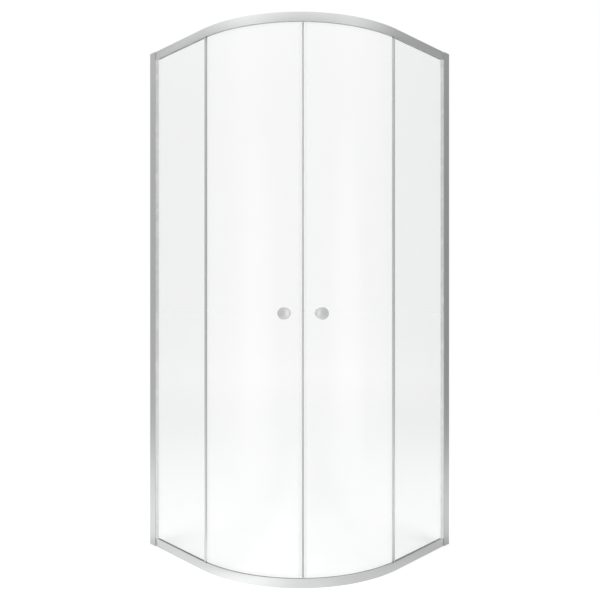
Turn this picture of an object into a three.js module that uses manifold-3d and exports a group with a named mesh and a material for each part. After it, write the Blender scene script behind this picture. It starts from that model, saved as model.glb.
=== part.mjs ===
// Curved corner shower enclosure: two flat fixed panels and two curved sliding doors.
// Millimetres, +Z up. The room corner is at -X, +Y and the curved front faces +X, -Y.
// Left and right are as seen from the front. Plan positions are given in two ways:
// "inset" is the distance inward from the outer faces, and "reach" the distance from the wall.

import * as THREE from 'three';
import { mergeVertices } from 'three/addons/utils/BufferGeometryUtils.js';
import Module from 'manifold-3d';

// Whole enclosure
const WALL_TO_FACE = 800;
const HEIGHT = 1850;
const BEND_RADIUS = 476;
const BEND_STEPS = 36;
const PANEL_GLASS = 4;

// Wall profiles, a channel screwed to the wall on each side
const CHANNEL_REACH = 36;
const CHANNEL_DEPTH = 14;
const CHANNEL_WALL = 1.5;
const CHANNEL_EDGE = 0.6;

// Wall posts, which slide in the channels and hold the fixed glass
const POST_SETBACK = 0.4;
const POST_START = 8;
const POST_BOX = 22;
const POST_NOSE = 11.5;
const POST_LIP = 7.9;
const POST_WALL = 1.4;

// Rails, the same bent section at the top and, turned over, at the bottom
const RAIL_WALL = 1.4;
const RAIL_END_GAP = 1.5;
const RAIL_EDGE = 0.5;
const TRACK_WIDTH = 6.9;
const TRACK_HEADROOM = 1.5;
const TRACK_LIP = 1.2;
const TRACK_LIP_HEIGHT = 1.8;
const SLOT_DEPTH = 9.65;
const GLAZING_GAP = 1;
const BUTT_GAP = 0.3;

// Corner keys, one in each end of each rail
const KEY_GAP = 0.4;
const KEY_TONGUE = 38;
const KEY_LEG = 30;

// Fixed glass, its post gasket and the profile on its free edge
const FIXED_TOP_GAP = 2.2;
const FIXED_OVERRUN = 17.5;
const FIXED_START_GAP = 1.2;
const GASKET_WALL = 0.8;
const GASKET_GAP = 0.1;
const GASKET_PROUD = 0.6;
const GASKET_WEDGE = 14.6;
const GASKET_SHOULDER = 1.3;
const GASKET_TIP = 0.3;
const GASKET_STEPS = 3;
const EDGE_WALL = 0.8;
const EDGE_GRIP = 4.5;
const EDGE_GAP = 0.3;
const EDGE_FIN = 0.8;
const EDGE_FIN_LENGTH = 1.4;

// Doors
const DOOR_CLEARANCE = 1.6;
const DOOR_END_GAP = 3;
const DOOR_END_DEGREES = 44.36;
const DOOR_STEPS = 20;
const MEETING_SHIFT = 11.1;
const DOOR_RUN = 204;

// Magnetic strips and seals on the doors' upright edges
const MEETING_GAP = 0.3;
const MAGNET_WIDTH = 3.4;
const MAGNET_DEPTH = 6;
const MAGNET_FIT = 0.15;
const SEAL_WALL = 1;
const SEAL_FIT = 0.2;
const SEAL_GRIP = 9;
const SEAL_LIP = 2.6;
const FIN_WALL = 0.8;
const FIN_GAP = 0.3;
const SEAL_STEPS = 1;

// Rollers, two at the top and two at the bottom of each door
const ROLLER_DEGREES = { front: 8, rear: 25 };
const WHEEL_RADIUS = 7.9;
const WHEEL_WIDTH = 2.6;
const WHEEL_RIM = 0.4;
const WHEEL_GAP = 0.25;
const WHEEL_BORE_GAP = 0.3;
const WHEEL_SEGMENTS = 16;
const AXLE_RADIUS = 2;
const AXLE_OFFSET = 1.6;
const SHOULDER_RADIUS = 3.2;
const COLLAR_RADIUS = 4;
const COLLAR_LENGTH = 1.6;
const STUD_RADIUS = 3;
const STUD_LENGTH = 3.6;
const HOLE_GAP = 0.5;
const CONTACT_GAP = 0.3;
const NUT_RADIUS = 7;
const NUT_LENGTH = 5;
const NUT_EDGE = 1.2;
const NUT_WALL = 1;
const ROUND_SEGMENTS = 12;

// Door stops, blocks clamped in the top track
const STOP_GAP = 0.5;
const STOP_LENGTH = 18;
const STOP_EDGE = 0.8;
const STOP_STEPS = 2;

// Knobs, one inside and one outside on each door
const KNOB_HEIGHT = 882;
const KNOB_FROM_EDGE = 60.5;
const KNOB_RADIUS = 20;
const KNOB_THICKNESS = 12;
const KNOB_NECK_RADIUS = 8;
const KNOB_FOOT_RADIUS = 11;
const KNOB_FOOT = 2.5;
const KNOB_STANDOFF = 9;
const KNOB_EDGE = 2;
const KNOB_DISH = 2.4;
const KNOB_DISH_STEPS = 3;
const KNOB_SEGMENTS = 36;
const KNOB_HOLE_RADIUS = 6;
const KNOB_SPIGOT_RADIUS = 5.3;
const KNOB_SCREW_RADIUS = 2.5;
const KNOB_SCREW_GRIP = 7;
const CURVE_STEPS = 3;
const CUTTER_OVERRUN = 3;
const MERGE_TOLERANCE = 1e-4;

// Sizes that follow from the ones above
const half = WALL_TO_FACE / 2;
const centre = [half - BEND_RADIUS, BEND_RADIUS - half];
const bendAngle = Math.PI / 4;
const railFace = CHANNEL_WALL + POST_SETBACK;
const trackOuter = railFace + RAIL_WALL;
const trackInner = trackOuter + TRACK_WIDTH;
const lipBack = trackInner + TRACK_LIP;
const fixedOuter = trackOuter + GLAZING_GAP;
const fixedInner = fixedOuter + PANEL_GLASS;
const slotInner = fixedInner + GLAZING_GAP;
const slotBack = slotInner + RAIL_WALL;
const doorOuter = lipBack + DOOR_CLEARANCE;
const doorInner = doorOuter + PANEL_GLASS;
const wheelMiddle = trackOuter + TRACK_WIDTH / 2;
const wheelDrop = RAIL_WALL + TRACK_HEADROOM + WHEEL_RADIUS;
const ledgeDrop = wheelDrop + WHEEL_RADIUS + WHEEL_GAP;
const ledgeUnder = ledgeDrop + RAIL_WALL;
const railDrop = ledgeUnder + SLOT_DEPTH;
const studDrop = wheelDrop + AXLE_OFFSET;
const railEnd = CHANNEL_REACH + RAIL_END_GAP;
const straight = WALL_TO_FACE - BEND_RADIUS;
const postBottom = railDrop + BUTT_GAP;
const postTop = HEIGHT - postBottom;
const postBack = CHANNEL_DEPTH - CHANNEL_WALL - POST_SETBACK;
const postWeb = POST_START + POST_BOX;
const postEnd = postWeb + POST_NOSE;
const postLip = postWeb + POST_LIP;
const fixedDrop = ledgeUnder + FIXED_TOP_GAP;
const fixedEdge = straight + FIXED_OVERRUN;
const meetingAngle = MEETING_SHIFT / BEND_RADIUS;
const degree = Math.PI / 180;
const doorWidth = side => DOOR_END_DEGREES * degree - side * meetingAngle;
const bothSides = { left: -1, right: 1 };
const bothEnds = { top: 1, bottom: -1 };

// Materials, one new one for each piece
const finish = (color, roughness, metalness) => new THREE.MeshStandardMaterial({ color, roughness, metalness });
const satinAluminium = () => finish(0xc9cbcd, 0.34, 1);
const clearGlass = () => finish(0xf1f5f4, 0.05, 0);
const greyRubber = () => finish(0x8d9092, 0.7, 0);
const clearPlastic = () => finish(0xe4e7e8, 0.3, 0);
const greyMagnet = () => finish(0xb5b8ba, 0.5, 0);
const whiteNylon = () => finish(0xe9e9e6, 0.45, 0);
const greyNylon = () => finish(0xa8aaac, 0.5, 0);
const polishedChrome = () => finish(0xd2d4d6, 0.16, 1);
const stainlessSteel = () => finish(0xb9bbbd, 0.3, 1);

// Plan positions. An angle is measured from the middle of the curved front, positive to the right.
const heading = angle => angle - Math.PI / 4;

function onBend(angle, inset) {
  const radius = BEND_RADIUS - inset;
  return [centre[0] + radius * Math.cos(heading(angle)), centre[1] + radius * Math.sin(heading(angle))];
}

function onStraight(side, reach, inset) {
  return side > 0 ? [half - inset, half - reach] : [reach - half, inset - half];
}

// A place puts a point of a flat outline, given as two numbers, into space.
const bendPlace = angle => (inset, z) => [...onBend(angle, inset), z];
const straightPlace = (side, reach) => (inset, z) => [...onStraight(side, reach, inset), z];
const levelPlace = (side, z) => (reach, inset) => [...onStraight(side, reach, inset), z];
const range = (low, high, steps) => Array.from({ length: steps + 1 }, (_, i) => low + ((high - low) * i) / steps);

function signedArea(loop) {
  return loop.reduce((sum, [x, y], i) => {
    const [nextX, nextY] = loop[(i + 1) % loop.length];
    return sum + x * nextY - nextX * y;
  }, 0);
}

function volumeSign(points, faces) {
  const corner = i => new THREE.Vector3(...points[i]);
  const sum = faces.reduce((total, [a, b, c]) => total + corner(a).dot(corner(b).cross(corner(c))), 0);
  return Math.sign(sum);
}

function toGeometry(points, faces) {
  const geometry = new THREE.BufferGeometry();
  geometry.setAttribute('position', new THREE.Float32BufferAttribute(points.flat(), 3));
  geometry.setIndex(faces.flat());
  return geometry;
}

// Carries a closed outline, with any holes in it, through a row of places and closes both ends.
function sweep(outline, places, holes = []) {
  const turned = (loop, sign) => (Math.sign(signedArea(loop)) === sign ? loop : [...loop].reverse());
  const outer = turned(outline, 1);
  const inner = holes.map(hole => turned(hole, -1));
  const vectors = loop => loop.map(([x, y]) => new THREE.Vector2(x, y));
  const flat = [outer, ...inner].flat();
  const caps = THREE.ShapeUtils.triangulateShape(vectors(outer), inner.map(vectors)).map(face => {
    const area = signedArea(face.map(i => flat[i]));
    return area > 0 ? face : [...face].reverse();
  });
  const points = places.flatMap(place => flat.map(([x, y]) => place(x, y)));
  const last = (places.length - 1) * flat.length;
  const faces = caps.flatMap(([a, b, c]) => [[c, b, a], [a + last, b + last, c + last]]);
  let start = 0;
  for (const loop of [outer, ...inner]) {
    for (let row = 0; row < last; row += flat.length) {
      for (let i = 0; i < loop.length; i += 1) {
        const here = row + start + i;
        const next = row + start + ((i + 1) % loop.length);
        faces.push([here, next, next + flat.length], [here, next + flat.length, here + flat.length]);
      }
    }
    start += loop.length;
  }
  const outward = volumeSign(points, faces) > 0;
  return toGeometry(points, outward ? faces : faces.map(face => [...face].reverse()));
}

// An upright length with the same plan all the way up
function upright(side, outline, bottom, top, holes = []) {
  return sweep(outline, [levelPlace(side, bottom), levelPlace(side, top)], holes);
}

const box = (low, high) => [[low[0], low[1]], [high[0], low[1]], [high[0], high[1]], [low[0], high[1]]];

// Takes the sharp corner off every point of an outline that turns outward or inward
function eased(outline, size) {
  return outline.flatMap(([x, y], i) => {
    const before = outline[(i + outline.length - 1) % outline.length];
    const after = outline[(i + 1) % outline.length];
    return [before, after].map(([nearX, nearY]) => {
      const length = Math.hypot(nearX - x, nearY - y);
      const step = Math.min(size, length / 3) / length;
      return [x + (nearX - x) * step, y + (nearY - y) * step];
    });
  });
}

// Solids of revolution about the inward direction: a profile point is a radius and an inset.
function turn(profile, segments) {
  const ring = profile.map(([radius, inset]) => new THREE.Vector2(radius, inset));
  const raw = new THREE.LatheGeometry([...ring, ring[0]], segments);
  raw.deleteAttribute('normal');
  raw.deleteAttribute('uv');
  const merged = mergeVertices(raw, MERGE_TOLERANCE);
  const index = Array.from(merged.index.array);
  const position = merged.attributes.position;
  const points = Array.from({ length: position.count }, (_, i) => [position.getX(i), position.getY(i), position.getZ(i)]);
  const all = Array.from({ length: index.length / 3 }, (_, i) => index.slice(i * 3, i * 3 + 3));
  const faces = all.filter(([a, b, c]) => a !== b && b !== c && c !== a);
  const outward = volumeSign(points, faces) > 0;
  return toGeometry(points, outward ? faces : faces.map(face => [...face].reverse()));
}

// The place of a turned piece at an angle on the bend and a height, its axis pointing inward
function facing(angle, z) {
  const out = new THREE.Vector3(Math.cos(heading(angle)), Math.sin(heading(angle)), 0);
  const along = new THREE.Vector3(-out.y, out.x, 0);
  const up = new THREE.Vector3(0, 0, 1);
  return new THREE.Matrix4().makeBasis(along, out.clone().negate(), up).setPosition(...onBend(angle, 0), z);
}

// Joining and cutting
const manifold = await Module();
manifold.setup();

function toSolid(geometry) {
  const vertProperties = new Float32Array(geometry.attributes.position.array);
  const triVerts = new Uint32Array(geometry.index.array);
  return new manifold.Manifold(new manifold.Mesh({ numProp: 3, vertProperties, triVerts }));
}

function fromSolid(solid) {
  const mesh = solid.getMesh();
  const geometry = new THREE.BufferGeometry();
  geometry.setAttribute('position', new THREE.BufferAttribute(new Float32Array(mesh.vertProperties), 3));
  geometry.setIndex(new THREE.BufferAttribute(new Uint32Array(mesh.triVerts), 1));
  return geometry;
}

const joined = (first, ...rest) => fromSolid(rest.reduce((sum, next) => sum.add(toSolid(next)), toSolid(first)));
const cut = (body, cutters) => fromSolid(cutters.reduce((left, next) => left.subtract(toSolid(next)), toSolid(body)));

// Heights and outlines for the top of the enclosure are turned over for the bottom.
const height = (end, drop) => (end > 0 ? HEIGHT - drop : drop);
const atEnd = (end, outline) => outline.map(([inset, drop]) => [inset, height(end, drop)]);

// The part of the way round that a rail covers: straight, bend, straight
function railPlaces() {
  const bend = range(-bendAngle, bendAngle, BEND_STEPS).map(bendPlace);
  return [straightPlace(-1, railEnd), ...bend, straightPlace(1, railEnd)];
}

function rail(end) {
  const section = [
    [railFace, RAIL_EDGE],
    [railFace + RAIL_EDGE, 0],
    [lipBack, 0],
    [lipBack, RAIL_WALL],
    [trackOuter, RAIL_WALL],
    [trackOuter, ledgeDrop],
    [trackInner, ledgeDrop],
    [trackInner, ledgeDrop - TRACK_LIP_HEIGHT],
    [lipBack, ledgeDrop - TRACK_LIP_HEIGHT],
    [lipBack, ledgeUnder],
    [slotBack, ledgeUnder],
    [slotBack, railDrop],
    [slotInner, railDrop],
    [slotInner, ledgeUnder],
    [trackOuter, ledgeUnder],
    [trackOuter, railDrop],
    [railFace + RAIL_EDGE, railDrop],
    [railFace, railDrop - RAIL_EDGE],
  ];
  return sweep(atEnd(end, section), railPlaces());
}

function wallProfile(side) {
  const depth = CHANNEL_DEPTH;
  const section = [
    [0, CHANNEL_EDGE],
    [CHANNEL_EDGE, 0],
    [CHANNEL_REACH - CHANNEL_EDGE, 0],
    [CHANNEL_REACH, CHANNEL_EDGE],
    [CHANNEL_REACH, CHANNEL_WALL],
    [CHANNEL_WALL, CHANNEL_WALL],
    [CHANNEL_WALL, depth - CHANNEL_WALL],
    [CHANNEL_REACH, depth - CHANNEL_WALL],
    [CHANNEL_REACH, depth - CHANNEL_EDGE],
    [CHANNEL_REACH - CHANNEL_EDGE, depth],
    [CHANNEL_EDGE, depth],
    [0, depth - CHANNEL_EDGE],
  ];
  return upright(side, section, 0, HEIGHT);
}

function wallPost(side) {
  const section = [
    [POST_START, railFace],
    [postLip - POST_SETBACK, railFace],
    [postLip, railFace + POST_SETBACK],
    [postLip, trackOuter],
    [postWeb, trackOuter],
    [postWeb, slotInner],
    [postEnd, slotInner],
    [postEnd, slotBack],
    [postWeb, slotBack],
    [postWeb, postBack - POST_SETBACK],
    [postWeb - POST_SETBACK, postBack],
    [POST_START, postBack],
  ];
  const hollow = box([POST_START + POST_WALL, trackOuter], [postWeb - POST_WALL, postBack - POST_WALL]);
  return upright(side, section, postBottom, postTop, [hollow]);
}

// A key is a block in the wall profile with a leg down the hollow post and a tongue in the rail's track.
function cornerKey(side, end) {
  const start = POST_START + POST_WALL + KEY_GAP;
  const legEnd = postWeb - POST_WALL - KEY_GAP;
  const legBack = postBack - POST_WALL - KEY_GAP;
  const inset = trackOuter + KEY_GAP;
  const low = RAIL_WALL + KEY_GAP;
  const block = (outline, top, bottom) => upright(side, outline, height(end, top), height(end, bottom));
  const tongueOutline = box([start, inset], [railEnd + KEY_TONGUE, trackInner - KEY_GAP]);
  const tongue = block(tongueOutline, low, ledgeDrop - KEY_GAP);
  const leg = block(box([start, inset], [legEnd, legBack]), low, railDrop + KEY_LEG);
  return joined(leg, tongue);
}

function fixedGlass(side) {
  const outline = box([postWeb + FIXED_START_GAP, fixedOuter], [fixedEdge, fixedInner]);
  return upright(side, outline, fixedDrop, HEIGHT - fixedDrop);
}

// A U round the edge of the glass. Its outer leg swells into a wedge next to the post's front lip.
function postGasket(side) {
  const outer = trackOuter + GASKET_GAP;
  const inner = slotInner - GASKET_GAP;
  const start = postWeb + GASKET_GAP;
  const shoulder = postLip + GASKET_GAP;
  const outerEnd = shoulder + GASKET_WEDGE;
  const innerEnd = postEnd + GASKET_PROUD;
  const tip = outer + GASKET_WALL - GASKET_TIP;
  const rise = tip - outer + GASKET_SHOULDER;
  const wedge = range(0, 1, GASKET_STEPS).map(share => [
    shoulder + GASKET_WEDGE * share,
    tip - rise * Math.cos((share * Math.PI) / 2),
  ]);
  const section = [
    [start, outer],
    [shoulder, outer],
    ...wedge,
    [outerEnd, outer + GASKET_WALL],
    [start + GASKET_WALL, outer + GASKET_WALL],
    [start + GASKET_WALL, inner - GASKET_WALL],
    [innerEnd, inner - GASKET_WALL],
    [innerEnd, inner],
    [start, inner],
  ];
  return upright(side, section, postBottom, postTop);
}

// A channel on the free edge of the fixed glass, with a thin fin toward the door
function edgeProfile(side) {
  const outer = fixedOuter - EDGE_GAP;
  const inner = fixedInner + EDGE_GAP;
  const back = fixedEdge + EDGE_GAP;
  const end = back + EDGE_WALL;
  const start = back - EDGE_GRIP;
  const section = [
    [start, outer - EDGE_WALL],
    [end - EDGE_GAP, outer - EDGE_WALL],
    [end, outer - EDGE_WALL + EDGE_GAP],
    [end, inner + EDGE_WALL + EDGE_FIN_LENGTH],
    [end - EDGE_FIN, inner + EDGE_WALL + EDGE_FIN_LENGTH],
    [end - EDGE_FIN, inner + EDGE_WALL],
    [start, inner + EDGE_WALL],
    [start, inner],
    [back, inner],
    [back, outer],
    [start, outer],
  ];
  return upright(side, section, postBottom, postTop);
}

// Angles on a door are measured from its meeting edge toward the wall.
const doorAngle = (side, angle) => meetingAngle + side * angle;
const arc = (length, inset) => length / (BEND_RADIUS - inset);

function doorSweep(side, section, from, to, steps) {
  return sweep(section, range(from, to, steps).map(angle => bendPlace(doorAngle(side, angle))));
}

const glassMeeting = MEETING_GAP + MAGNET_WIDTH + MAGNET_FIT + SEAL_WALL + SEAL_FIT;
const doorBottom = DOOR_END_GAP;
const doorTop = HEIGHT - DOOR_END_GAP;

function bore(radius, side, angle, z) {
  const profile = [[0, doorOuter - CUTTER_OVERRUN], [radius, doorOuter - CUTTER_OVERRUN]];
  profile.push([radius, doorInner + CUTTER_OVERRUN], [0, doorInner + CUTTER_OVERRUN]);
  return turn(profile, ROUND_SEGMENTS).applyMatrix4(facing(doorAngle(side, angle), z));
}

const knobAngle = arc(KNOB_FROM_EDGE, doorOuter);

function doorGlass(side) {
  const section = box([doorOuter, doorBottom], [doorInner, doorTop]);
  const pane = doorSweep(side, section, arc(glassMeeting, doorOuter), doorWidth(side), DOOR_STEPS);
  const rollerBores = Object.values(ROLLER_DEGREES).flatMap(angle => Object.values(bothEnds).map(end => (
    bore(STUD_RADIUS + HOLE_GAP, side, angle * degree, height(end, studDrop))
  )));
  return cut(pane, [...rollerBores, bore(KNOB_HOLE_RADIUS, side, knobAngle, KNOB_HEIGHT)]);
}

// An upright strip on a door, its outline given as a distance from the meeting edge and an inset
function doorStrip(side, outline, bottom, top) {
  const place = z => (distance, inset) => [...onBend(doorAngle(side, arc(distance, doorOuter)), inset), z];
  return sweep(outline, range(bottom, top, SEAL_STEPS).map(place));
}

const sealBottom = railDrop + BUTT_GAP;
const sealTop = HEIGHT - sealBottom;
const doorMiddle = (doorOuter + doorInner) / 2;

function magnetStrip(side) {
  const low = [MEETING_GAP, doorMiddle - MAGNET_DEPTH / 2];
  const high = [MEETING_GAP + MAGNET_WIDTH, doorMiddle + MAGNET_DEPTH / 2];
  return doorStrip(side, eased(box(low, high), EDGE_GAP), sealBottom, sealTop);
}

// The seal grips the glass on one side and the magnetic strip on the other.
function magnetSeal(side) {
  const back = MEETING_GAP + MAGNET_WIDTH + MAGNET_FIT;
  const lipStart = back - SEAL_LIP;
  const lipIn = MAGNET_DEPTH / 2 + MAGNET_FIT;
  const lipOut = PANEL_GLASS / 2 + SEAL_FIT + SEAL_WALL + MAGNET_FIT;
  const grip = PANEL_GLASS / 2 + SEAL_FIT;
  const outerHalf = [
    [lipStart, lipIn],
    [lipStart, lipIn + SEAL_WALL],
    [back, lipIn + SEAL_WALL],
    [back + SEAL_WALL + SEAL_GRIP, lipOut],
    [back + SEAL_WALL + SEAL_GRIP, grip],
    [back + SEAL_WALL, grip],
  ];
  const near = outerHalf.map(([distance, offset]) => [distance, doorMiddle - offset]);
  const far = [...outerHalf].reverse().map(([distance, offset]) => [distance, doorMiddle + offset]);
  const section = [[back, doorMiddle - lipIn], ...near, ...far, [back, doorMiddle + lipIn]];
  return doorStrip(side, section, sealBottom, sealTop);
}

// A clip on the rear edge of the door with a fin that reaches out to the fixed glass
function rearSeal(side) {
  const glassEnd = doorWidth(side) * (BEND_RADIUS - doorOuter);
  const outer = doorOuter - SEAL_FIT;
  const inner = doorInner + SEAL_FIT;
  const back = glassEnd + SEAL_FIT;
  const start = back - SEAL_GRIP;
  const end = back + SEAL_WALL;
  const finTip = fixedInner + FIN_GAP;
  const section = [
    [start, outer - SEAL_WALL],
    [end - FIN_WALL, outer - SEAL_WALL],
    [end - FIN_WALL, finTip],
    [end, finTip],
    [end, inner + SEAL_WALL],
    [start, inner + SEAL_WALL],
    [start, inner],
    [back, inner],
    [back, outer],
    [start, outer],
  ];
  return doorStrip(side, section, sealBottom, sealTop);
}

// The axle is off the stud's centre, so that turning it sets the height of the door.
function rollerAxle(end) {
  const wheelBack = wheelMiddle + WHEEL_WIDTH / 2;
  const collarEnd = doorOuter - CONTACT_GAP;
  const collarStart = collarEnd - COLLAR_LENGTH;
  const shoulderStart = wheelBack + CONTACT_GAP;
  const axleStart = wheelMiddle - WHEEL_WIDTH / 2;
  const axleProfile = [
    [0, axleStart],
    [AXLE_RADIUS, axleStart],
    [AXLE_RADIUS, shoulderStart],
    [SHOULDER_RADIUS, shoulderStart],
    [SHOULDER_RADIUS, collarStart + EDGE_GAP],
    [0, collarStart + EDGE_GAP],
  ];
  const studProfile = [
    [0, collarStart],
    [COLLAR_RADIUS, collarStart],
    [COLLAR_RADIUS, collarEnd],
    [STUD_RADIUS, collarEnd],
    [STUD_RADIUS, doorInner + STUD_LENGTH],
    [0, doorInner + STUD_LENGTH],
  ];
  const stud = turn(studProfile, ROUND_SEGMENTS).translate(0, 0, -end * AXLE_OFFSET);
  return joined(turn(axleProfile, ROUND_SEGMENTS), stud);
}

function rollerWheel() {
  const front = wheelMiddle - WHEEL_WIDTH / 2;
  const back = wheelMiddle + WHEEL_WIDTH / 2;
  const bore = AXLE_RADIUS + WHEEL_BORE_GAP;
  const profile = [
    [bore, front],
    [WHEEL_RADIUS - WHEEL_RIM, front],
    [WHEEL_RADIUS, front + WHEEL_RIM],
    [WHEEL_RADIUS, back - WHEEL_RIM],
    [WHEEL_RADIUS - WHEEL_RIM, back],
    [bore, back],
  ];
  return turn(profile, WHEEL_SEGMENTS);
}

function rollerNut() {
  const front = doorInner + CONTACT_GAP;
  const back = front + NUT_LENGTH;
  const bore = STUD_RADIUS + CONTACT_GAP;
  const profile = [
    [bore, front],
    [NUT_RADIUS, front],
    [NUT_RADIUS, back - NUT_EDGE],
    [NUT_RADIUS - NUT_EDGE, back],
    [0, back],
    [0, back - NUT_WALL],
    [bore, back - NUT_WALL],
  ];
  return turn(profile, ROUND_SEGMENTS);
}

// A place at a distance run along the wheel track from the middle of the front
function trackPlace(side, distance) {
  const radius = BEND_RADIUS - wheelMiddle;
  const bendLength = bendAngle * radius;
  if (distance <= bendLength) {
    return bendPlace(side * (distance / radius));
  }
  return straightPlace(side, straight - (distance - bendLength));
}

function doorStop(side, from, length) {
  const low = [trackOuter + KEY_GAP, RAIL_WALL + KEY_GAP];
  const high = [trackInner - KEY_GAP, ledgeDrop - KEY_GAP];
  const section = atEnd(1, eased(box(low, high), STOP_EDGE));
  return sweep(section, range(from, from + length, STOP_STEPS).map(distance => trackPlace(side, distance)));
}

// Distances along the track from the middle of the front, for a door's wheels when it is closed
const trackRadius = BEND_RADIUS - wheelMiddle;
const wheelRun = (side, angle) => trackRadius * (angle * degree + side * meetingAngle);
const stopReach = WHEEL_RADIUS + STOP_GAP;
const openStop = side => doorStop(side, wheelRun(side, ROLLER_DEGREES.rear) + DOOR_RUN + stopReach, STOP_LENGTH);
const closeStop = side => doorStop(side, wheelRun(side, ROLLER_DEGREES.front) - stopReach - STOP_LENGTH, STOP_LENGTH);

// Points of a quarter round from a flat face to a rim, for an edge of the given size
function roundEdge(radius, face, direction) {
  return range(0, Math.PI / 2, CURVE_STEPS).map(turnAngle => [
    radius - KNOB_EDGE + KNOB_EDGE * Math.cos(turnAngle),
    face - direction * KNOB_EDGE * (1 - Math.sin(turnAngle)),
  ]);
}

// A knob is a thick disc on a neck. Direction is -1 outside the door and 1 inside it.
function knob(direction) {
  const glass = direction < 0 ? doorOuter : doorInner;
  const at = offset => glass + direction * offset;
  const foot = at(CONTACT_GAP);
  const neck = at(KNOB_FOOT);
  const discBack = at(KNOB_STANDOFF);
  const face = at(KNOB_STANDOFF + KNOB_THICKNESS);
  const dish = range(1, 0, KNOB_DISH_STEPS).slice(1).map(share => [
    (KNOB_RADIUS - KNOB_EDGE) * share,
    face - direction * KNOB_DISH * (1 - share * share),
  ]);
  const screwEnd = at(KNOB_SCREW_GRIP + CONTACT_GAP);
  const screwBore = KNOB_SCREW_RADIUS + CONTACT_GAP;
  const spigotEnd = direction < 0 ? foot : doorOuter;
  const spigot = direction < 0 ? [] : [[screwBore, spigotEnd], [KNOB_SPIGOT_RADIUS, spigotEnd], [KNOB_SPIGOT_RADIUS, foot]];
  const start = direction < 0 ? [[screwBore, foot]] : spigot;
  const profile = [
    ...start,
    [KNOB_FOOT_RADIUS, foot],
    [KNOB_FOOT_RADIUS, neck],
    [KNOB_NECK_RADIUS, neck],
    [KNOB_NECK_RADIUS, discBack],
    [KNOB_RADIUS - KNOB_EDGE / 2, discBack],
    [KNOB_RADIUS, at(KNOB_STANDOFF + KNOB_EDGE / 2)],
    ...roundEdge(KNOB_RADIUS, face, direction),
    ...dish,
    [0, screwEnd],
    [screwBore, screwEnd],
  ];
  return turn(profile, KNOB_SEGMENTS);
}

function knobScrew() {
  const low = doorOuter - KNOB_SCREW_GRIP;
  const high = doorInner + KNOB_SCREW_GRIP;
  const profile = [[0, low], [KNOB_SCREW_RADIUS, low], [KNOB_SCREW_RADIUS, high], [0, high]];
  return turn(profile, ROUND_SEGMENTS);
}

// Assembly
const enclosure = new THREE.Group();
enclosure.name = 'shower_enclosure';

function addPiece(group, name, geometry, material, place = new THREE.Matrix4()) {
  const mesh = new THREE.Mesh(geometry, material);
  mesh.name = name;
  mesh.applyMatrix4(place);
  geometry.computeVertexNormals();
  group.add(mesh);
}

function addFrameSide(name, side) {
  const group = new THREE.Group();
  addPiece(group, `wall_profile_${name}`, wallProfile(side), satinAluminium());
  addPiece(group, `wall_post_${name}`, wallPost(side), satinAluminium());
  addPiece(group, `fixed_glass_${name}`, fixedGlass(side), clearGlass());
  addPiece(group, `post_gasket_${name}`, postGasket(side), greyRubber());
  addPiece(group, `edge_profile_${name}`, edgeProfile(side), satinAluminium());
  for (const [endName, end] of Object.entries(bothEnds)) {
    addPiece(group, `corner_key_${endName}_${name}`, cornerKey(side, end), greyNylon());
  }
  addPiece(group, `open_stop_${name}`, openStop(side), greyNylon());
  addPiece(group, `close_stop_${name}`, closeStop(side), greyNylon());
  enclosure.add(group);
}

function addDoor(name, side) {
  const group = new THREE.Group();
  addPiece(group, `door_glass_${name}`, doorGlass(side), clearGlass());
  addPiece(group, `magnet_seal_${name}`, magnetSeal(side), clearPlastic());
  addPiece(group, `magnet_strip_${name}`, magnetStrip(side), greyMagnet());
  addPiece(group, `rear_seal_${name}`, rearSeal(side), clearPlastic());
  const knobPlace = facing(doorAngle(side, knobAngle), KNOB_HEIGHT);
  addPiece(group, `knob_outside_${name}`, knob(-1), polishedChrome(), knobPlace);
  addPiece(group, `knob_inside_${name}`, knob(1), polishedChrome(), knobPlace);
  addPiece(group, `knob_screw_${name}`, knobScrew(), stainlessSteel(), knobPlace);
  for (const [endName, end] of Object.entries(bothEnds)) {
    for (const [rollerName, degrees] of Object.entries(ROLLER_DEGREES)) {
      addRoller(group, `${endName}_${name}_${rollerName}`, end, doorAngle(side, degrees * degree));
    }
  }
  enclosure.add(group);
}

function addRoller(group, label, end, angle) {
  const wheelPlace = facing(angle, height(end, wheelDrop));
  addPiece(group, `roller_axle_${label}`, rollerAxle(end), stainlessSteel(), wheelPlace);
  addPiece(group, `roller_wheel_${label}`, rollerWheel(), whiteNylon(), wheelPlace);
  addPiece(group, `roller_nut_${label}`, rollerNut(), polishedChrome(), facing(angle, height(end, studDrop)));
}

addPiece(enclosure, 'top_rail', rail(bothEnds.top), satinAluminium());
addPiece(enclosure, 'bottom_rail', rail(bothEnds.bottom), satinAluminium());
for (const [name, side] of Object.entries(bothSides)) {
  addFrameSide(name, side);
  addDoor(name, side);
}

export default enclosure;
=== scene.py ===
"""Looks for a quadrant shower enclosure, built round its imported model: two flat fixed panels, two
curved doors on rollers, bent aluminium rails, wall profiles and round knobs. Metres, Z up.
The middle of the curved front faces +X -Y. Left and right are as seen from there."""

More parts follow.
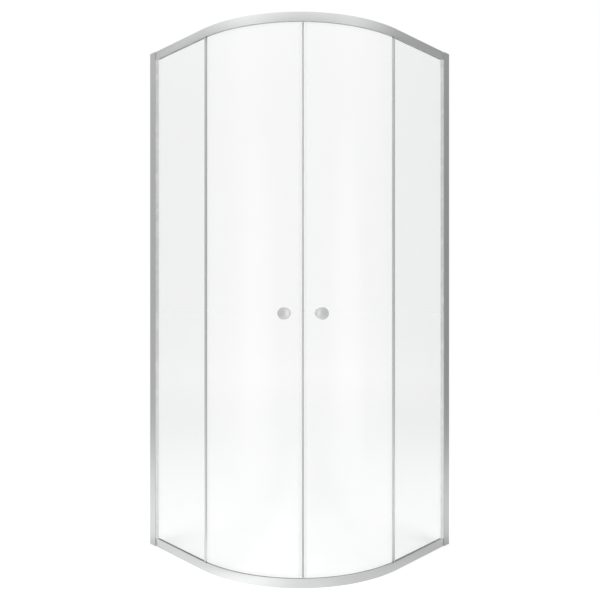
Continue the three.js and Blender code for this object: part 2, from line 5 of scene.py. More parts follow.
import bmesh
import bpy
import math
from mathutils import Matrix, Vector


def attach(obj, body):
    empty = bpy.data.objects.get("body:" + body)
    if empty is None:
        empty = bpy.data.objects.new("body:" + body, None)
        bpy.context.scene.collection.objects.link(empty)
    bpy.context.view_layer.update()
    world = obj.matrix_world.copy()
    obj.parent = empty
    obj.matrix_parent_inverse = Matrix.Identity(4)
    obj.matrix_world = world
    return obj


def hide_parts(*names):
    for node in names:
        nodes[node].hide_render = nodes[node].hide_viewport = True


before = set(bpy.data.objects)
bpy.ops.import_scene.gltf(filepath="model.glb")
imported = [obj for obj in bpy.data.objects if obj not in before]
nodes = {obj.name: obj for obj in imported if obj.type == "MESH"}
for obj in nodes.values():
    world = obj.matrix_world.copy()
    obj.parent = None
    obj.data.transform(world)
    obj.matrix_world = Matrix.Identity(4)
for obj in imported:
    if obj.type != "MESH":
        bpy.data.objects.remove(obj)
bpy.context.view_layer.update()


# Top and bottom rail.
# Each rail is one length of satin anodised aluminium extrusion, bent to a quarter round with a
# straight tail at both ends. The tails plug onto corner keys that sit in the wall posts.

MM = 0.001
HALF_PLAN = 400 * MM
HEIGHT = 1850 * MM
BEND = 476 * MM
BEND_MIDDLE = Vector((HALF_PLAN - BEND, BEND - HALF_PLAN, 0))
BEND_STEPS = 144
QUARTER = math.pi / 2
FRONT_HEADING = -QUARTER / 2
STRAIGHT = 2 * HALF_PLAN - BEND
TAIL_END = 36.4 * MM
RAIL_HEIGHT = 30 * MM
# Sections list points in mm: inset from the outer face, then distance from top or bottom.
RAIL_SECTION = (
    (1.9, 0.5), (2.4, 0), (11.4, 0), (11.4, 1.4), (3.3, 1.4), (3.3, 18.95), (10.2, 18.95),
    (10.2, 17.15), (11.4, 17.15), (11.4, 20.35), (10.7, 20.35), (10.7, 30), (9.3, 30),
    (9.3, 20.35), (3.3, 20.35), (3.3, 30), (2.4, 30), (1.9, 29.5),
)
RAIL_EASE = 0.35 * MM
EASE_STEPS = 2
EASED_TURN = math.radians(40)
CREASE = math.radians(20)
WELD = 0.002 * MM
SIDES = {"left": -1, "right": 1}
ENDS = {"top": 1, "bottom": -1}
MIX_SHARE, MIX_FIRST, MIX_SECOND, MIX_COLOUR = 0, 6, 7, 2
DULL_ALUMINIUM = (0.60, 0.605, 0.612)
PALE_ALUMINIUM = (0.64, 0.645, 0.648)
ALUMINIUM = (0.62, 0.625, 0.63)
RUBBED_ALUMINIUM = (0.74, 0.745, 0.75)
LINES_ACROSS = 900
LINES_ALONG = 2.5
LINE_TONE = 0.35
BLOTCH_SCALE = 9.0
SPECK_SCALE = 420.0
RUB_SCALE = 60.0
RUB_BAND = (0.38, 0.62)
MOST_RUBBED = 0.55
EDGE_BAND = (0.2 * MM, 1.4 * MM)
SATIN = 0.29
SATIN_LINES = 0.05
SATIN_BLOTCHES = 0.05
SATIN_SPECKS = 0.03
RUBBED_SMOOTHER = 0.08
LINE_RELIEF = 0.8
SPECK_RELIEF = 0.2
ALUMINIUM_RELIEF = 0.012 * MM


def on_bend(angle, inset, z):
    """A point at an angle right of the middle of the front, that far in from the outer face."""
    heading = angle + FRONT_HEADING
    reach = BEND - inset
    return BEND_MIDDLE + Vector((reach * math.cos(heading), reach * math.sin(heading), z))


def on_straight(side, reach, inset, z):
    """A point on a flat side, that far from the wall and that far in from the outer face."""
    if side > 0:
        return Vector((HALF_PLAN - inset, HALF_PLAN - reach, z))
    return Vector((reach - HALF_PLAN, inset - HALF_PLAN, z))


def level(end, drop):
    """The height that lies that far from the top or the bottom of the enclosure."""
    return HEIGHT - drop if end > 0 else drop


def flat_face(bm, points):
    """One flat face through these points."""
    return bm.faces.new([bm.verts.new(point) for point in points])


def draw_out(bm, face, step):
    """Pushes a face out along a vector, walls following, and returns its new end."""
    made = bmesh.ops.extrude_face_region(bm, geom=[face])["geom"]
    end = next(part for part in made if isinstance(part, bmesh.types.BMFace))
    bmesh.ops.translate(bm, verts=end.verts, vec=step)
    return end


def carry_round(bm, face, angle):
    """Carries a face round the middle of the bend, walls following, and returns its new end."""
    last = bmesh.ops.spin(
        bm, geom=[face, *face.edges, *face.verts], cent=BEND_MIDDLE, axis=(0, 0, 1),
        angle=angle, steps=BEND_STEPS, use_merge=False,
    )["geom_last"]
    return next(part for part in last if isinstance(part, bmesh.types.BMFace))


def ease(bm, size):
    """Rounds every edge that turns sharply."""
    sharp = [
        edge for edge in bm.edges
        if len(edge.link_faces) == 2 and edge.calc_face_angle() > EASED_TURN
    ]
    bmesh.ops.bevel(
        bm, geom=sharp, offset=size, offset_type="OFFSET", affect="EDGES", segments=EASE_STEPS,
        profile=0.5, material=-1, clamp_overlap=True,
    )


def make_piece(bm, name, material, crease=CREASE):
    """A finished piece in place, smooth except where it turns by more than that angle."""
    bmesh.ops.remove_doubles(bm, verts=bm.verts, dist=WELD)
    bmesh.ops.recalc_face_normals(bm, faces=bm.faces)
    mesh = bpy.data.meshes.new(name)
    bm.to_mesh(mesh)
    bm.free()
    mesh.shade_smooth()
    mesh.set_sharp_from_angle(angle=crease)
    mesh.materials.append(material)
    piece = bpy.data.objects.new(name, mesh)
    bpy.context.collection.objects.link(piece)
    return piece


def dress(name, material):
    """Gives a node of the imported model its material."""
    if not nodes[name].material_slots:
        nodes[name].data.materials.append(material)
    for slot in nodes[name].material_slots:
        slot.material = material


class Value:
    """A number, colour or vector on its way through a material. Sums on it add Math nodes."""

    def __init__(self, finish, socket):
        self.finish = finish
        self.socket = socket

    def other(self, output):
        """Another output of the same node."""
        return Value(self.finish, self.socket.node.outputs[output])

    def sum(self, operation, first, second=0.0):
        return self.finish.node("Math", {"operation": operation}, {0: first, 1: second})

    def __add__(self, other):
        return self.sum("ADD", self, other)

    def __radd__(self, other):
        return self.sum("ADD", other, self)

    def __sub__(self, other):
        return self.sum("SUBTRACT", self, other)

    def __rsub__(self, other):
        return self.sum("SUBTRACT", other, self)

    def __mul__(self, other):
        return self.sum("MULTIPLY", self, other)

    def __rmul__(self, other):
        return self.sum("MULTIPLY", other, self)

    def __truediv__(self, other):
        return self.sum("DIVIDE", self, other)

    def __pow__(self, other):
        return self.sum("POWER", self, other)

    def at_least(self, other):
        return self.sum("MAXIMUM", self, other)

    def size(self):
        return self.sum("ABSOLUTE", self)


class Finish:
    """A node tree under construction."""

    def __init__(self, tree):
        self.tree = tree
        tree.nodes.clear()

    def node(self, kind, settings, sockets, output=0):
        """Adds a node, its settings first and then its sockets, and returns one of its outputs."""
        made = self.tree.nodes.new("ShaderNode" + kind)
        for name, value in settings.items():
            if name == "stops":
                self.set_stops(made.color_ramp, value)
            else:
                setattr(made, name, value)
        for name, value in sockets.items():
            if isinstance(value, Value):
                self.tree.links.new(value.socket, made.inputs[name])
            else:
                made.inputs[name].default_value = value
        return Value(self, made.outputs[output])

    def set_stops(self, ramp, stops):
        """Gives a ramp its grey stops, pairs of place and brightness."""
        ramp.interpolation = "EASE"
        while len(ramp.elements) < len(stops):
            ramp.elements.new(1.0)
        for element, (at, grey) in zip(ramp.elements, stops):
            element.position = at
            element.color = (grey, grey, grey, 1)

    def place(self):
        """Object coordinates, in metres."""
        return self.node("TexCoord", {}, {}, "Object")

    def split(self, vector):
        x = self.node("SeparateXYZ", {}, {"Vector": vector})
        return x, x.other("Y"), x.other("Z")

    def join(self, x, y, z):
        return self.node("CombineXYZ", {}, {"X": x, "Y": y, "Z": z})

    def noise(self, vector, scale=1.0, detail=2.0, roughness=0.5):
        sockets = {"Vector": vector, "Scale": scale, "Detail": detail, "Roughness": roughness}
        return self.node("TexNoise", {}, sockets)

    def span(self, value, low, high, first, last):
        """Carries a value smoothly from one range to another, and holds it at the ends."""
        ends = {"From Min": low, "From Max": high, "To Min": first, "To Max": last}
        return self.node("MapRange", {"interpolation_type": "SMOOTHSTEP"}, {"Value": value, **ends})

    def mix_colours(self, share, first, second):
        first, second = (c if isinstance(c, Value) else (*c, 1) for c in (first, second))
        sockets = {MIX_SHARE: share, MIX_FIRST: first, MIX_SECOND: second}
        return self.node("Mix", {"data_type": "RGBA"}, sockets, MIX_COLOUR)

    def bump(self, height, depth):
        """Relief of that depth, in metres, where the height runs from 0 to 1."""
        return self.node("Bump", {}, {"Height": height, "Distance": depth, "Strength": 1.0})

    def surface(self, sockets):
        """The main shader, from the sockets that differ from its defaults."""
        return self.node("BsdfPrincipled", {}, sockets)

    def mix_shaders(self, share, first, second):
        return self.node("MixShader", {}, {0: share, 1: first, 2: second})

    def close(self, shader, kind="OutputMaterial"):
        output = self.tree.nodes.new("ShaderNode" + kind)
        self.tree.links.new(shader.socket, output.inputs["Surface"])


def new_material(name):
    """A material and the tree to fill in."""
    material = bpy.data.materials.new(name)
    material.use_nodes = True
    return material, Finish(material.node_tree)


def anodised(name, lengthwise, rubbed, tone=1.0):
    """Satin anodised extrusion. lengthwise gives two ways across it and one along it, and rubbed
    how much hands and cloths reach a point. tone darkens the whole batch."""
    material, finish = new_material(name)
    place = finish.place()
    first, second, along = lengthwise(finish, place)
    drawn = finish.join(first * LINES_ACROSS, second * LINES_ACROSS, along * LINES_ALONG)
    lines = finish.noise(drawn, detail=3.0, roughness=0.6)
    blotches = finish.noise(place, BLOTCH_SCALE, detail=3.0)
    specks = finish.noise(place, SPECK_SCALE)
    rub = rubbed(finish, place) * finish.noise(place, RUB_SCALE, detail=3.0)
    wear = finish.span(rub, *RUB_BAND, 0.0, MOST_RUBBED)
    dull, pale, lined, bare = (
        tuple(channel * tone for channel in colour)
        for colour in (DULL_ALUMINIUM, PALE_ALUMINIUM, ALUMINIUM, RUBBED_ALUMINIUM)
    )
    blotched = finish.mix_colours(blotches, dull, pale)
    unworn = finish.mix_colours(lines * LINE_TONE, blotched, lined)
    satin = SATIN + lines * SATIN_LINES + blotches * SATIN_BLOTCHES + specks * SATIN_SPECKS
    surface = finish.surface({
        "Base Color": finish.mix_colours(wear, unworn, bare),
        "Metallic": 1.0,
        "Roughness": satin - wear * RUBBED_SMOOTHER,
        "Normal": finish.bump(lines * LINE_RELIEF + specks * SPECK_RELIEF, ALUMINIUM_RELIEF),
    })
    finish.close(surface)
    return material


def round_the_bend(finish, place):
    """Across the rail's face, up it, and along it through the bend."""
    x, y, z = finish.split(place)
    right = (x - BEND_MIDDLE.x).at_least(0.0)
    front = (BEND_MIDDLE.y - y).at_least(0.0)
    outward = (right * right + front * front) ** 0.5
    return outward, z, x + y


def near_rail_edges(finish, place):
    """1 on the rails' outer edges, falling to 0 a little way from them."""
    from_middle = (finish.split(place)[2] - HEIGHT / 2).size()
    end_edge, far_edge = (
        finish.span((from_middle - edge).size(), *EDGE_BAND, 1.0, 0.0)
        for edge in (HEIGHT / 2, HEIGHT / 2 - RAIL_HEIGHT)
    )
    return end_edge.at_least(far_edge)


rail_aluminium = anodised("rail_aluminium", round_the_bend, near_rail_edges)
for end_name, end in ENDS.items():
    bm = bmesh.new()
    start = [
        on_straight(SIDES["left"], TAIL_END, inset * MM, level(end, drop * MM))
        for inset, drop in RAIL_SECTION
    ]
    face = draw_out(bm, flat_face(bm, start), (STRAIGHT - TAIL_END, 0, 0))
    face = carry_round(bm, face, QUARTER)
    draw_out(bm, face, (0, STRAIGHT - TAIL_END, 0))
    ease(bm, RAIL_EASE)
    rail = make_piece(bm, f"bent_{end_name}_rail", rail_aluminium)
    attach(rail, "frame")
    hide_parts(f"{end_name}_rail")


# Rubber in the rails.
# Grey wedge strips, pushed in from the room side, hold the fixed glass in the rails' slot. Along
# the doors the same slot is closed by a hollow strip, so that it doesn't fill with soap.

WEDGE_SECTIONS = {
    "outer": (
        (3.4, 24), (4.2, 24), (4.2, 31.2), (3.9, 31.9), (3.3, 32.0), (2.7, 31.4), (2.6, 30.2),
        (3.4, 30.1),
    ),
    "inner": (
        (9.2, 24), (8.4, 24), (8.4, 30.6), (8.8, 31.0), (9.6, 30.9), (10.1, 30.4), (9.2, 30.1),
    ),
}
WEDGE_START = 53.4 * MM
WEDGE_END = 336.8 * MM
FILLER_SECTION = (
    (3.5, 24), (4.6, 24), (4.6, 28.6), (8.0, 28.6), (8.0, 24), (9.1, 24), (9.1, 29.8),
    (8.8, 30.3), (7.6, 30.0), (6.3, 29.9), (5.0, 30.0), (3.8, 30.3), (3.5, 29.8),
)
FILLER_FROM = math.radians(-42.3)
FILLER_TO = math.radians(42.3)
RUBBER_EASE = 0.15 * MM
RUBBER = (0.44, 0.445, 0.45)
RUBBER_BLOOM = (0.53, 0.535, 0.54)
# The rail rubber is mixed towards this dark grey low down, so it is darker towards the bottom.
LOW_DARKER_GREY = (0.13, 0.13, 0.125)
LOW_DARKER_SHARE = 0.52
LOW_DARKER_HEIGHTS = (32 * MM, 100 * MM)
EVEN_COVER = 0.7
PATCHY_COVER = 0.6
BLOOM_SCALE = 30.0
BLOOM_BAND = (0.4, 0.7)
RUBBER_ROUGHNESS = 0.55
BLOOM_ROUGHER = 0.2
RUBBER_SHINE = 0.4
PORE_SCALE = 900.0
PORE_DEPTH = 0.03 * MM


def extruded_rubber(name, body, bloomed, overlay, heights, share):
    """Extruded rubber with a pale bloom and fine pores. A second colour, in patches, covers that
    share of it at the first height and is gone at the second."""
    material, finish = new_material(name)
    place = finish.place()
    bloom = finish.noise(place, BLOOM_SCALE, detail=4.0, roughness=0.6)
    pores = finish.noise(place, PORE_SCALE)
    colour = finish.mix_colours(finish.span(bloom, *BLOOM_BAND, 0.0, 1.0), body, bloomed)
    # Low down the rubber is mixed with the second colour, so it is darker or paler towards the
    # bottom.
    reach = finish.span(finish.split(place)[2], *heights, share, 0.0)
    covered = reach * (EVEN_COVER + bloom * PATCHY_COVER)
    surface = finish.surface({
        "Base Color": finish.mix_colours(covered, colour, overlay),
        "Roughness": RUBBER_ROUGHNESS + bloom * BLOOM_ROUGHER,
        "Specular IOR Level": RUBBER_SHINE,
        "Normal": finish.bump(pores, PORE_DEPTH),
    })
    finish.close(surface)
    return material


rubber = extruded_rubber("grey_rubber", RUBBER, RUBBER_BLOOM, LOW_DARKER_GREY, LOW_DARKER_HEIGHTS, LOW_DARKER_SHARE)
for end_name, end in ENDS.items():
    for side_name, side in SIDES.items():
        run = on_straight(side, WEDGE_END, 0, 0) - on_straight(side, WEDGE_START, 0, 0)
        for place_name, section in WEDGE_SECTIONS.items():
            bm = bmesh.new()
            start = [
                on_straight(side, WEDGE_START, inset * MM, level(end, drop * MM))
                for inset, drop in section
            ]
            draw_out(bm, flat_face(bm, start), run)
            ease(bm, RUBBER_EASE)
            wedge = make_piece(bm, f"glazing_wedge_{place_name}_{end_name}_{side_name}", rubber)
            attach(wedge, "frame")
    bm = bmesh.new()
    start = [
        on_bend(FILLER_FROM, inset * MM, level(end, drop * MM)) for inset, drop in FILLER_SECTION
    ]
    carry_round(bm, flat_face(bm, start), FILLER_TO - FILLER_FROM)
    ease(bm, RUBBER_EASE)
    filler = make_piece(bm, f"slot_strip_{end_name}", rubber)
    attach(filler, "frame")


# Wall profiles.
# A U channel of the same anodised aluminium on each wall, held by three pan-head screws through
# its back. The post slides in it to take up a wall that isn't plumb, and is then pinned.

# Turned profiles list radius and distance along the axis, mm.
WALL_SCREW_HEAD = (
    (0, 0.2), (2.1, 0.2), (2.1, 1.5), (4.2, 1.6), (4.2, 2.2), (3.6, 3.3), (2.2, 4.1), (0, 4.3),
)
WALL_SCREW_HEIGHTS = (130 * MM, 925 * MM, 1720 * MM)
WALL_SCREW_INSET = 7 * MM
PIN_HEAD = (
    (0, 12.6), (1.7, 12.6), (1.7, 14.05), (3.6, 14.1), (3.6, 14.5), (3.1, 15.4), (1.8, 15.9),
    (0, 16),
)
PIN_HEIGHTS = (160 * MM, 925 * MM, 1690 * MM)
PIN_REACH = 20 * MM
UP = Vector((0, 0, 1))
SCREW_STEPS = 32
SEAM = 0.01 * MM
ROUNDED = math.radians(35)
PROFILE_TONE = 0.84
WAIST = 950 * MM
HANDLED_BAND = (100 * MM, 900 * MM)
HANDLED_MOST = 0.75
HANDLED_LEAST = 0.45
STEEL = (0.56, 0.56, 0.565)
PALE_STEEL = (0.64, 0.64, 0.64)
STEEL_TONE_SCALE = 45.0
STEEL_ROUGHNESS = 0.24
PALE_STEEL_ROUGHER = 0.12
STEEL_GRAIN_SCALE = 1600.0
STEEL_GRAIN_DEPTH = 0.01 * MM


def up_the_wall(finish, place):
    """Across an upright both ways, and up it."""
    return finish.split(place)


def handled(finish, place):
    """How much an upright is handled, most at waist height and less above and below."""
    from_waist = (finish.split(place)[2] - WAIST).size()
    return finish.span(from_waist, *HANDLED_BAND, HANDLED_MOST, HANDLED_LEAST)


def turned(bm, profile, middle, along, up, steps):
    """Turns a profile about a line through middle, starting on the side where up points."""
    points = [bm.verts.new(middle + along * (d * MM) + up * (r * MM)) for r, d in profile]
    edges = [bm.edges.new(pair) for pair in zip(points, points[1:])]
    bmesh.ops.spin(
        bm, geom=[*points, *edges], cent=middle, axis=along, angle=2 * math.pi, steps=steps,
        use_merge=True,
    )
    bmesh.ops.remove_doubles(bm, verts=bm.verts, dist=SEAM)


def turned_piece(name, material, profile, middle, along, up, steps):
    """A finished piece of one turned form."""
    bm = bmesh.new()
    turned(bm, profile, middle, along, up, steps)
    return make_piece(bm, name, material, ROUNDED)


def machined_steel(name):
    """Stainless steel off the lathe, with a fine grain."""
    material, finish = new_material(name)
    place = finish.place()
    grain = finish.noise(place, STEEL_GRAIN_SCALE)
    tone = finish.noise(place, STEEL_TONE_SCALE, detail=3.0)
    surface = finish.surface({
        "Base Color": finish.mix_colours(tone, STEEL, PALE_STEEL),
        "Metallic": 1.0,
        "Roughness": STEEL_ROUGHNESS + tone * PALE_STEEL_ROUGHER,
        "Normal": finish.bump(grain, STEEL_GRAIN_DEPTH),
    })
    finish.close(surface)
    return material


profile_aluminium = anodised("profile_aluminium", up_the_wall, handled, PROFILE_TONE)
steel = machined_steel("machined_steel")
for side_name, side in SIDES.items():
    dress(f"wall_profile_{side_name}", profile_aluminium)
    into_room = on_straight(side, 1, 0, 0) - on_straight(side, 0, 0, 0)
    inward = on_straight(side, 0, 1, 0) - on_straight(side, 0, 0, 0)
    for number, z in enumerate(WALL_SCREW_HEIGHTS, 1):
        name = f"wall_screw_{side_name}_{number}"
        middle = on_straight(side, 0, WALL_SCREW_INSET, z)
        screw = turned_piece(name, steel, WALL_SCREW_HEAD, middle, into_room, UP, SCREW_STEPS)
        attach(screw, "frame")
    for number, z in enumerate(PIN_HEIGHTS, 1):
        name = f"post_screw_{side_name}_{number}"
        middle = on_straight(side, PIN_REACH, 0, z)
        screw = turned_piece(name, steel, PIN_HEAD, middle, inward, UP, SCREW_STEPS)
        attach(screw, "frame")


# Wall posts.
# A hollow extrusion that slides in each wall profile and holds the edge of the fixed glass in a
# pale soft gasket. Its outer leg is a wedge on the glass, with a lip that laps over the post.

POST_DROP = 30.3 * MM
# This section lists reach from the wall and inset from the outer face, mm.
GASKET_SECTION = (
    (30.1, 3.4), (38.0, 3.4), (38.0, 2.36), (37.6, 1.88), (36.2, 1.88), (36.1, 1.5), (36.4, 1.1),
    (37.2, 0.98), (38.4, 1.1), (40.0, 1.36), (42.0, 1.74), (44.0, 2.14), (46.0, 2.56),
    (48.0, 2.98), (50.0, 3.40), (51.5, 3.70), (52.4, 3.92), (52.6, 4.2), (30.9, 4.2),
    (30.9, 8.4), (42.1, 8.4), (42.1, 9.2), (30.1, 9.2),
)
PALE_RUBBER = (0.48, 0.485, 0.49)
PALE_BLOOM = (0.56, 0.565, 0.57)
# The post gaskets are mixed towards this pale grey low down, so they are paler towards the bottom.
LOW_PALER_GREY = (0.86, 0.86, 0.86)
LOW_PALER_SHARE = 0.56
LOW_PALER_HEIGHTS = (200 * MM, 1050 * MM)

upright_aluminium = anodised("upright_aluminium", up_the_wall, handled)
pale_rubber = extruded_rubber(
    "pale_rubber", PALE_RUBBER, PALE_BLOOM, LOW_PALER_GREY, LOW_PALER_HEIGHTS, LOW_PALER_SHARE
)
for side_name, side in SIDES.items():
    dress(f"wall_post_{side_name}", upright_aluminium)
    bm = bmesh.new()
    foot = [
        on_straight(side, reach * MM, inset * MM, POST_DROP) for reach, inset in GASKET_SECTION
    ]
    draw_out(bm, flat_face(bm, foot), (0, 0, HEIGHT - 2 * POST_DROP))
    gasket = make_piece(bm, f"lipped_gasket_{side_name}", pale_rubber)
    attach(gasket, "frame")
    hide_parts(f"post_gasket_{side_name}")


# Corner keys and door stops.
# Moulded glass-filled nylon. The keys join rail and post. Two stops for each door are clamped in
# the top track, where one ends its closing and the other its opening.

NYLON = (0.38, 0.385, 0.39)
SCUFFED_NYLON = (0.46, 0.465, 0.47)
SCUFF_SCALE = 110.0
SCUFF_BAND = (0.5, 0.75)
NYLON_ROUGHNESS = 0.42
GRAIN_ROUGHER = 0.2
GRAIN_SCALE = 1400.0
GRAIN_DEPTH = 0.04 * MM


def grey_nylon(name):
    """Glass-filled nylon: a fine moulded grain and slight scuffs."""
    material, finish = new_material(name)
    place = finish.place()
    grain = finish.noise(place, GRAIN_SCALE, detail=3.0, roughness=0.6)
    scuff = finish.noise(place, SCUFF_SCALE, detail=4.0, roughness=0.6)
    scuffed = finish.span(scuff, *SCUFF_BAND, 0.0, 1.0)
    surface = finish.surface({
        "Base Color": finish.mix_colours(scuffed, NYLON, SCUFFED_NYLON),
        "Roughness": NYLON_ROUGHNESS + grain * GRAIN_ROUGHER,
        "Normal": finish.bump(grain, GRAIN_DEPTH),
    })
    finish.close(surface)
    return material


nylon = grey_nylon("grey_nylon")
for side_name in SIDES:
    for end_name in ENDS:
        dress(f"corner_key_{end_name}_{side_name}", nylon)
    dress(f"open_stop_{side_name}", nylon)
    dress(f"close_stop_{side_name}", nylon)


# Fixed glass and its edge profile.
# Flat 4 mm toughened glass, clear, with a faint film of dried water. Its free edge wears a thin
# aluminium channel with a fin that the door's rear seal meets.

FIXED_GLASS_PASS = (0.944, 0.947, 0.946, 1)
GLASS_FILM = (0.86, 0.87, 0.87, 1)
CLOUD_SCALE = 2.2
CLOUD_BAND = (0.35, 0.75)
CLOUDED_SHARES = (0.005, 0.030)
WIPES_ACROSS = 9.0
WIPES_UP = 1.3
WIPED_SHARE = 0.010
DROP_SCALE = 190.0
DROP_BAND = (0.70, 0.78)
SPOTTED_SHARE = 0.10
SPOTTED_HEIGHTS = (200 * MM, 1500 * MM)
SPOTTED_ABOVE = 0.2
FILM_ROUGHNESS = 0.5
GLASS_ROUGHNESS = 0.02
WIPES_ROUGHER = 0.03
GLASS_MIRROR = 0.036
GLASS_GRAZING = 1.0
GRAZING_POWER = 5
WHITE = (1, 1, 1, 1)


def mirrored_share(finish, head_on, grazing):
    """How much is mirrored: so much head on, and more as light comes to graze the surface."""
    facing = finish.node("LayerWeight", {}, {"Blend": 0.5}, "Facing")
    return head_on + (grazing - head_on) * facing ** GRAZING_POWER


def clear_glass(name, tint):
    """Thin clear glass: light passes with a light tint, a share is mirrored as on real glass, and
    a faint film of dried water and wiping marks covers it."""
    material, finish = new_material(name)
    place = finish.place()
    x, y, z = finish.split(place)
    clouds = finish.noise(place, CLOUD_SCALE, detail=3.0, roughness=0.55)
    wiped = finish.join((x + y) * WIPES_ACROSS, (x - y) * WIPES_ACROSS, z * WIPES_UP)
    wiping = finish.noise(wiped, detail=4.0, roughness=0.6)
    drops = finish.noise(place, DROP_SCALE, roughness=0.4)
    dried_drops = finish.span(drops, *DROP_BAND, 0.0, SPOTTED_SHARE)
    spots = dried_drops * finish.span(z, *SPOTTED_HEIGHTS, 1.0, SPOTTED_ABOVE)
    overlay = finish.span(clouds, *CLOUD_BAND, *CLOUDED_SHARES) + wiping * WIPED_SHARE + spots
    passing = finish.node("BsdfTransparent", {}, {"Color": tint})
    dried = finish.surface({"Base Color": GLASS_FILM, "Roughness": FILM_ROUGHNESS})
    mirror = finish.surface({
        "Base Color": WHITE,
        "Metallic": 1.0,
        "Roughness": GLASS_ROUGHNESS + wiping * WIPES_ROUGHER,
    })
    mirrored = mirrored_share(finish, GLASS_MIRROR, GLASS_GRAZING)
    filmed = finish.mix_shaders(overlay, passing, dried)
    finish.close(finish.mix_shaders(mirrored, filmed, mirror))
    return material


fixed_glass = clear_glass("fixed_glass", FIXED_GLASS_PASS)
for side_name in SIDES:
    dress(f"fixed_glass_{side_name}", fixed_glass)
    dress(f"edge_profile_{side_name}", upright_aluminium)


# Door glass.
# 4 mm toughened glass, a little clearer than the fixed panels, bent on the same centre as the
# rails and drilled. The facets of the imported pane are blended, so that it mirrors as one curve.

DOOR_GLASS_PASS = (0.962, 0.964, 0.963, 1)

door_glass = clear_glass("door_glass", DOOR_GLASS_PASS)
for side_name in SIDES:
    bm = bmesh.new()
    bm.from_mesh(nodes[f"door_glass_{side_name}"].data)
    pane = make_piece(bm, f"curved_pane_{side_name}", door_glass)
    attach(pane, f"door_{side_name}")
    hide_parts(f"door_glass_{side_name}")


# Door seals and magnetic strips.
# Clear PVC clips on the upright edges of each door. The front one carries a grey magnetic strip
# that meets its pair, and the rear one a fin that closes against the fixed panel.

PLASTIC_PASS = (0.998, 0.999, 0.999, 1)
PLASTIC_BODY = (0.84, 0.85, 0.85, 1)
PLASTIC_MIRROR = 0.012
PLASTIC_GRAZING = 0.22
PLASTIC_ROUGHNESS = 0.4
PLASTIC_GLOSS = 0.12
CLOUD_DULLER = 0.10
PLASTIC_CLOUD_SCALE = 40.0
BODY_SHARE = 0.004
CLOUD_SHARE = 0.008
DIE_LINES_ACROSS = 1200
DIE_LINES_ALONG = 4
DIE_LINE_DEPTH = 0.02 * MM
MAGNET = (0.40, 0.405, 0.41)
SCUFFED_MAGNET = (0.50, 0.505, 0.51)
MAGNET_TONE_SCALE = 14.0
MAGNET_TONE_SHARE = 0.6
MAGNET_LINES_SHARE = 0.4
MAGNET_LINES_ACROSS = 900
MAGNET_LINES_ALONG = 3
MAGNET_ROUGHNESS = 0.38
MAGNET_LINES_ROUGHER = 0.12
MAGNET_LINE_DEPTH = 0.03 * MM


def clear_plastic(name):
    """Clear soft plastic, a little cloudy, with fine lines from the extruder."""
    material, finish = new_material(name)
    place = finish.place()
    x, y, z = finish.split(place)
    drawn = finish.join(x * DIE_LINES_ACROSS, y * DIE_LINES_ACROSS, z * DIE_LINES_ALONG)
    relief = finish.bump(finish.noise(drawn), DIE_LINE_DEPTH)
    cloud = finish.noise(place, PLASTIC_CLOUD_SCALE, detail=3.0)
    passing = finish.node("BsdfTransparent", {}, {"Color": PLASTIC_PASS})
    body = finish.surface({
        "Base Color": PLASTIC_BODY,
        "Roughness": PLASTIC_ROUGHNESS,
        "Normal": relief,
    })
    mirror = finish.surface({
        "Base Color": WHITE,
        "Metallic": 1.0,
        "Roughness": PLASTIC_GLOSS + cloud * CLOUD_DULLER,
        "Normal": relief,
    })
    mirrored = mirrored_share(finish, PLASTIC_MIRROR, PLASTIC_GRAZING)
    clouded = finish.mix_shaders(BODY_SHARE + cloud * CLOUD_SHARE, passing, body)
    finish.close(finish.mix_shaders(mirrored, clouded, mirror))
    return material


def grey_magnet(name):
    """Flexible magnet in a grey plastic skin."""
    material, finish = new_material(name)
    place = finish.place()
    x, y, z = finish.split(place)
    drawn = finish.join(x * MAGNET_LINES_ACROSS, y * MAGNET_LINES_ACROSS, z * MAGNET_LINES_ALONG)
    lines = finish.noise(drawn, detail=3.0)
    tone = finish.noise(place, MAGNET_TONE_SCALE, detail=3.0)
    scuffed = tone * MAGNET_TONE_SHARE + lines * MAGNET_LINES_SHARE
    surface = finish.surface({
        "Base Color": finish.mix_colours(scuffed, MAGNET, SCUFFED_MAGNET),
        "Roughness": MAGNET_ROUGHNESS + lines * MAGNET_LINES_ROUGHER,
        "Normal": finish.bump(lines, MAGNET_LINE_DEPTH),
    })
    finish.close(surface)
    return material


plastic = clear_plastic("clear_plastic")
magnet = grey_magnet("grey_magnet")
for side_name in SIDES:
    dress(f"magnet_seal_{side_name}", plastic)
    dress(f"rear_seal_{side_name}", plastic)
    dress(f"magnet_strip_{side_name}", magnet)


# Rollers.
# Each door hangs on two rollers and is guided by two more. A nylon wheel with a ball bearing
# turns on an eccentric steel axle, and a chromed dome nut on the stud clamps it to the glass.

MEETING = 11.1 * MM / BEND
ROLLERS = {"front": math.radians(8), "rear": math.radians(25)}
ROLLER_STEPS = 48
WHEEL_DROP = 10.8 * MM
STUD_DROP = 12.4 * MM
TYRE = (
    (5.1, 5.55), (5.1, 7.95), (5.6, 8.05), (7.3, 8.05), (7.75, 7.85), (7.9, 7.5), (7.75, 6.75),
    (7.9, 6.0), (7.75, 5.65), (7.3, 5.45), (5.6, 5.45), (5.1, 5.55),
)
BEARING = (
    (2.3, 5.6), (3.1, 5.6), (3.15, 5.8), (4.3, 5.8), (4.35, 5.6), (5.05, 5.6), (5.05, 7.9),
    (4.35, 7.9), (4.3, 7.7), (3.15, 7.7), (3.1, 7.9), (2.3, 7.9), (2.3, 5.6),
)
PIN = (
    (0, 5.45), (1.7, 5.45), (2.0, 5.7), (2.0, 8.3), (3.2, 8.4), (3.2, 11.35), (0, 11.35),
)
STUD = (
    (0, 11.1), (3.7, 11.1), (4.0, 11.3), (4.0, 12.5), (3.8, 12.7), (3.0, 12.7), (3.0, 20.4),
    (0, 20.4),
)
WASHER = (
    (3.2, 17.05), (7.6, 17.05), (7.8, 17.25), (7.8, 17.65), (7.6, 17.85), (3.2, 17.85),
    (3.2, 17.05),
)
